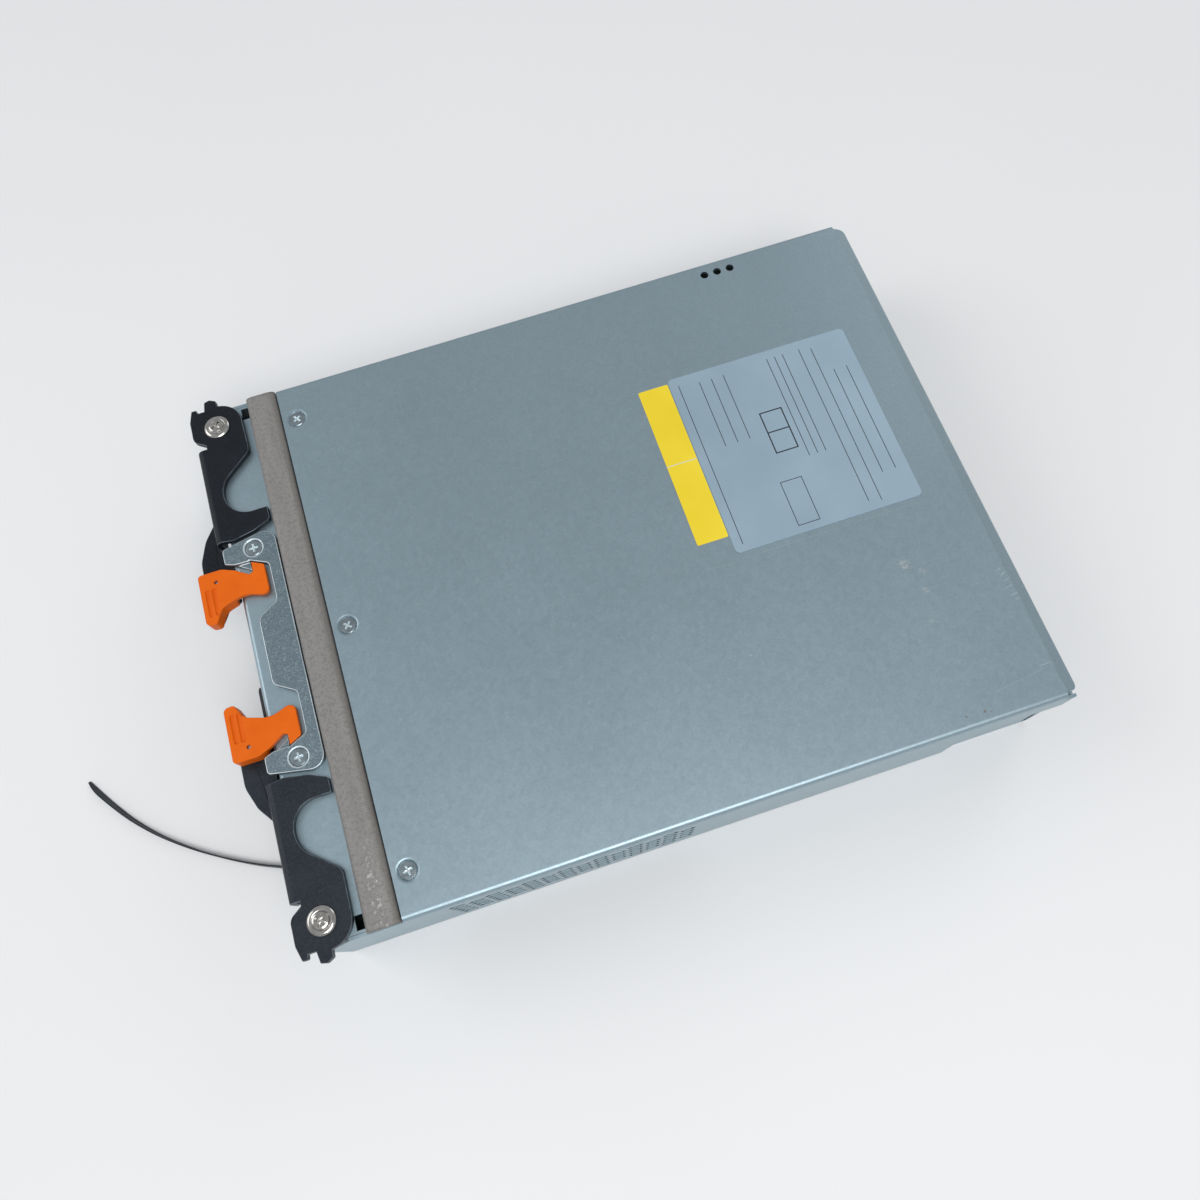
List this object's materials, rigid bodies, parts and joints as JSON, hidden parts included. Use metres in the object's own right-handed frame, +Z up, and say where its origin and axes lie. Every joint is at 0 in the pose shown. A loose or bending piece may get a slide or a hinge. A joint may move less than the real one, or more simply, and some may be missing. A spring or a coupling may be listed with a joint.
{
  "type": "hot swap server power supply",
  "caption": "Low, wide slide-in power supply with a perforated sheet case, cam levers locked by sprung orange latches, a mains inlet, fans and a rear blade connector.",
  "frame": {"origin": "middle of the supply's footprint on its bottom face, from the latches' front to the cover's rear edge", "axes": "+X towards the rear connector, +Y towards the left side as the operator sees it, +Z up"},
  "size_m": [0.3055, 0.1878, 0.0424],
  "materials": {
    "galvanised_steel": "zinc-coated sheet, satin, with faint spangle",
    "black_steel": "black powder coat over steel, satin",
    "latch_orange": "moulded orange plastic, slightly glossy",
    "nickel_screws": "nickel-plated steel, bright",
    "spring_steel": "bright spring wire and ground pins",
    "gasket_cloth": "conductive grey cloth over foam",
    "black_plastic": "moulded black plastic",
    "strap_nylon": "nylon strap, satin, smooth",
    "contact_metal": "plated contacts",
    "clear_plastic": "clear moulded light pipe",
    "board_green": "glass-epoxy board with green mask",
    "insulation_film": "thin polyester sheet",
    "capacitor_sleeve": "shrink sleeve over aluminium can",
    "film_box": "moulded yellow box",
    "choke_wire": "enamelled copper winding on a ring core",
    "ferrite": "dark fired ferrite",
    "winding_tape": "polyester tape over the winding",
    "fuse_ceramic": "ceramic tube",
    "heatsink_alloy": "extruded aluminium"
  },
  "bodies": {
    "chassis": {"outer_cover": "galvanised_steel", "base_tray": "galvanised_steel", "latch_bracket": "galvanised_steel", "pivot_screws": "nickel_screws", "pivot_nuts": "nickel_screws", "fan_screws": "nickel_screws", "inlet_screws": "nickel_screws", "board_screws": "nickel_screws", "cover_screws": "nickel_screws", "bracket_screws": "nickel_screws", "fuse_caps": "spring_steel", "board_standoffs": "spring_steel", "emi_gasket": "gasket_cloth", "inlet_housing": "black_plastic", "right_fan_frame": "black_plastic", "left_fan_frame": "black_plastic", "output_connector": "black_plastic", "strap_mount": "black_plastic", "inrush_relay": "black_plastic", "primary_transistors": "black_plastic", "output_rectifiers": "black_plastic", "retention_strap": "strap_nylon", "inlet_pins": "contact_metal", "output_blades": "contact_metal", "signal_pins": "contact_metal", "bus_bars": "contact_metal", "status_lights": "clear_plastic", "main_board": "board_green", "control_board": "board_green", "insulation_sheet": "insulation_film", "bulk_capacitors": "capacitor_sleeve", "output_capacitors": "capacitor_sleeve", "film_capacitors": "film_box", "filter_chokes": "choke_wire", "boost_choke": "choke_wire", "transformer_core": "ferrite", "transformer_winding": "winding_tape", "fuse_tube": "fuse_ceramic", "primary_heatsink": "heatsink_alloy", "secondary_heatsink": "heatsink_alloy"},
    "right_lever": {"right_lever": "black_steel", "right_latch_pin": "spring_steel", "right_latch_spring": "spring_steel"},
    "left_lever": {"left_lever": "black_steel", "left_latch_pin": "spring_steel", "left_latch_spring": "spring_steel"},
    "right_latch": {"right_latch": "latch_orange"},
    "left_latch": {"left_latch": "latch_orange"},
    "right_fan_rotor": {"right_fan_rotor": "black_plastic"},
    "left_fan_rotor": {"left_fan_rotor": "black_plastic"}
  },
  "joints": [
    {"name": "right_lever_swing", "type": "hinge", "parent": "chassis", "child": "right_lever", "pos_m": [-0.1059, -0.0825, 0.0398], "axis": [0, 0, 1], "range_deg": [0, 60]},
    {"name": "right_latch_release", "type": "hinge", "parent": "right_lever", "child": "right_latch", "pos_m": [-0.1163, -0.0276, 0.038], "axis": [0, 0, 1], "range_deg": [0, 18], "stiffness_Nm_per_rad": 0.03, "springref_deg": -20.05},
    {"name": "right_fan_spin", "type": "hinge", "parent": "chassis", "child": "right_fan_rotor", "pos_m": [-0.0953, 0.013, 0.0193], "axis": [1, 0, 0], "continuous": true},
    {"name": "left_lever_swing", "type": "hinge", "parent": "chassis", "child": "left_lever", "pos_m": [-0.1059, 0.0825, 0.0398], "axis": [0, 0, -1], "range_deg": [0, 60]},
    {"name": "left_latch_release", "type": "hinge", "parent": "left_lever", "child": "left_latch", "pos_m": [-0.1163, 0.0276, 0.038], "axis": [0, 0, -1], "range_deg": [0, 18], "stiffness_Nm_per_rad": 0.03, "springref_deg": -20.05},
    {"name": "left_fan_spin", "type": "hinge", "parent": "chassis", "child": "left_fan_rotor", "pos_m": [-0.0953, 0.0565, 0.0193], "axis": [1, 0, 0], "continuous": true}
  ]
}
